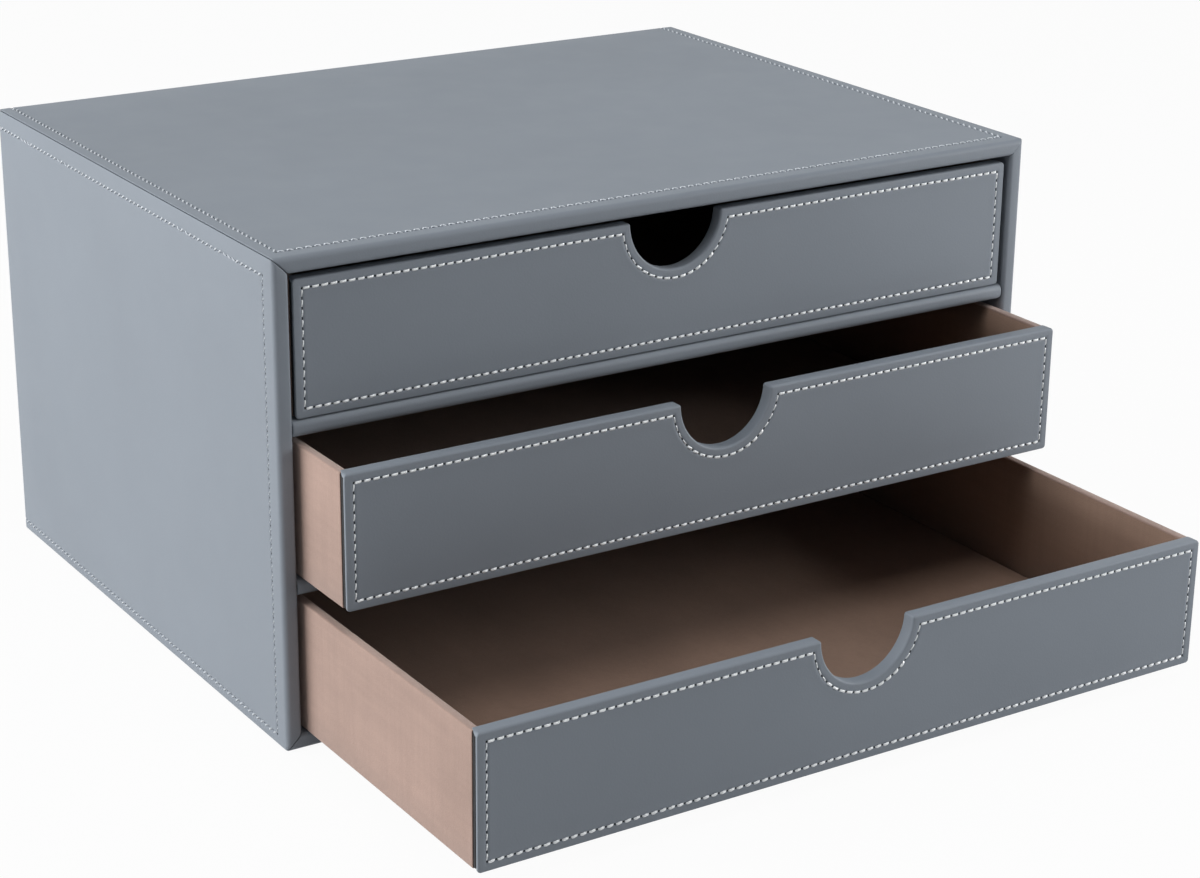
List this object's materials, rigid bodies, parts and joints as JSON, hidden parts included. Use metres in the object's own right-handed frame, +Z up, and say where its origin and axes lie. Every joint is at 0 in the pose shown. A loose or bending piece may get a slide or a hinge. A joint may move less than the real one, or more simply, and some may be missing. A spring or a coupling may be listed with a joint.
{
  "type": "desktop drawer organizer",
  "caption": "Low desktop cabinet wrapped in stitched leather, with stacked full-width drawers that slide out and have a half-round finger notch in each front.",
  "frame": {"origin": "centre of the cabinet's base where it stands on the desk", "axes": "+Z up, +X to the right seen from the front, drawers open towards -Y"},
  "size_m": [0.33, 0.3735, 0.185],
  "materials": {
    "leather": "smooth slate-grey coated leather with pale stitching",
    "board": "plain fibreboard, hidden under its skin",
    "suede": "pinkish-beige napped suede cloth",
    "cabinet_lining": "dark napped lining cloth",
    "base_felt": "dark felt"
  },
  "bodies": {
    "cabinet": {"base_pad": "base_felt", "left_side_cover": "leather", "left_side_board": "board", "left_side_lining": "cabinet_lining", "right_side_cover": "leather", "right_side_board": "board", "right_side_lining": "cabinet_lining", "top_panel_cover": "leather", "top_panel_board": "board", "top_panel_lining": "cabinet_lining", "bottom_panel_cover": "leather", "bottom_panel_board": "board", "bottom_panel_lining": "cabinet_lining", "back_panel_cover": "leather", "back_panel_board": "board", "back_panel_lining": "cabinet_lining", "upper_shelf_cover": "leather", "upper_shelf_board": "board", "lower_shelf_cover": "leather", "lower_shelf_board": "board"},
    "top_drawer": {"top_drawer_front_cover": "leather", "top_drawer_front_board": "board", "top_drawer_front_lining": "suede", "top_drawer_left_wall": "board", "top_drawer_right_wall": "board", "top_drawer_back_wall": "board", "top_drawer_floor_board": "board", "top_drawer_outer_wrap": "suede", "top_drawer_inner_lining": "suede", "top_drawer_floor_liner": "suede"},
    "middle_drawer": {"middle_drawer_front_cover": "leather", "middle_drawer_front_board": "board", "middle_drawer_front_lining": "suede", "middle_drawer_left_wall": "board", "middle_drawer_right_wall": "board", "middle_drawer_back_wall": "board", "middle_drawer_floor_board": "board", "middle_drawer_outer_wrap": "suede", "middle_drawer_inner_lining": "suede", "middle_drawer_floor_liner": "suede"},
    "bottom_drawer": {"bottom_drawer_front_cover": "leather", "bottom_drawer_front_board": "board", "bottom_drawer_front_lining": "suede", "bottom_drawer_left_wall": "board", "bottom_drawer_right_wall": "board", "bottom_drawer_back_wall": "board", "bottom_drawer_floor_board": "board", "bottom_drawer_outer_wrap": "suede", "bottom_drawer_inner_lining": "suede", "bottom_drawer_floor_liner": "suede"}
  },
  "joints": [
    {"name": "top_drawer_slide", "type": "slide", "parent": "cabinet", "child": "top_drawer", "axis": [0, -1, 0], "range_m": [0, 0.182]},
    {"name": "middle_drawer_slide", "type": "slide", "parent": "cabinet", "child": "middle_drawer", "axis": [0, -1, 0], "range_m": [-0.035, 0.147]},
    {"name": "bottom_drawer_slide", "type": "slide", "parent": "cabinet", "child": "bottom_drawer", "axis": [0, -1, 0], "range_m": [-0.123, 0.059]}
  ]
}
